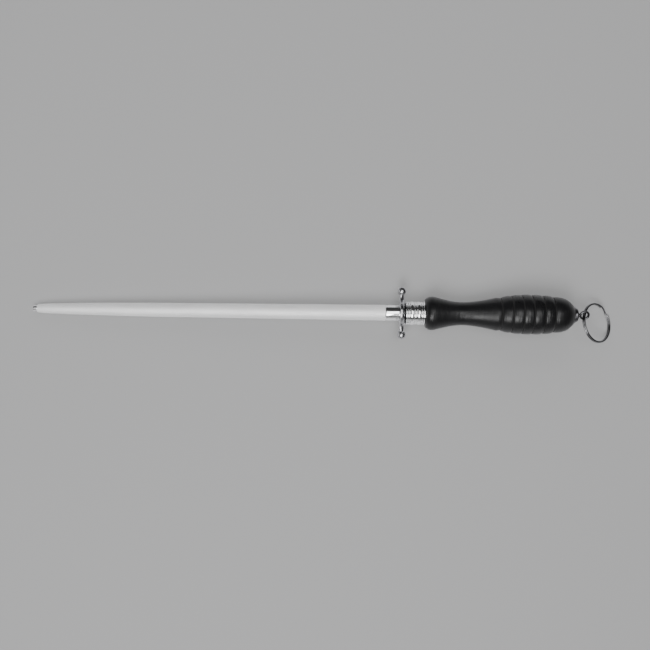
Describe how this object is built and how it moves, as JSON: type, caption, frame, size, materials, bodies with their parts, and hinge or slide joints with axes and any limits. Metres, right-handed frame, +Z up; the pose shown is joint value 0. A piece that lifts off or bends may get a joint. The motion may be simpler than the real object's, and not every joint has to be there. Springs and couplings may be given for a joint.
{
  "type": "knife sharpening steel",
  "caption": "Butcher's knife sharpening steel: a long tapered ribbed rod, a cross guard with ball ends, a beaded ferrule, a grooved black grip and a swivelling hanging ring.",
  "frame": {"origin": "on the rod's axis, at the guard's front face, where the steel stops when it is put into a block, rack or scabbard", "axes": "+X from the rod's tip towards the handle and the ring; +Z up from the table it lies on; the guard's arms lie flat along +Y and -Y"},
  "size_m": [0.4783, 0.0443, 0.0352],
  "materials": {
    "rod_steel": "hard chromed rod with fine lengthwise ribs, satin; neck and tip left polished",
    "chrome": "polished chrome plate on castings and turned brass",
    "handle_black": "moulded black plastic, semi-gloss",
    "cap_chrome": "polished nickel-chrome plate on turned steel",
    "swivel_chrome": "bright plated steel",
    "inner_steel": "plain steel, not seen",
    "ring_chrome": "bright nickel-plated spring steel wire"
  },
  "bodies": {
    "steel": {"sharpening_rod": "rod_steel", "guard": "chrome", "ferrule": "chrome", "handle": "handle_black", "butt_washer": "cap_chrome", "cap_nut": "cap_chrome"},
    "swivel": {"swivel_eye": "swivel_chrome", "swivel_washer": "inner_steel"},
    "ring": {"split_ring": "ring_chrome"}
  },
  "joints": [
    {"name": "swivel_turn", "type": "hinge", "parent": "steel", "child": "swivel", "pos_m": [0.1468, 0, 0], "axis": [1, 0, 0], "continuous": true},
    {"name": "ring_swing", "type": "hinge", "parent": "swivel", "child": "ring", "pos_m": [0.15195, 0, 0], "axis": [0.225, 0.9097, -0.3492], "range_deg": [-178, 103]}
  ]
}
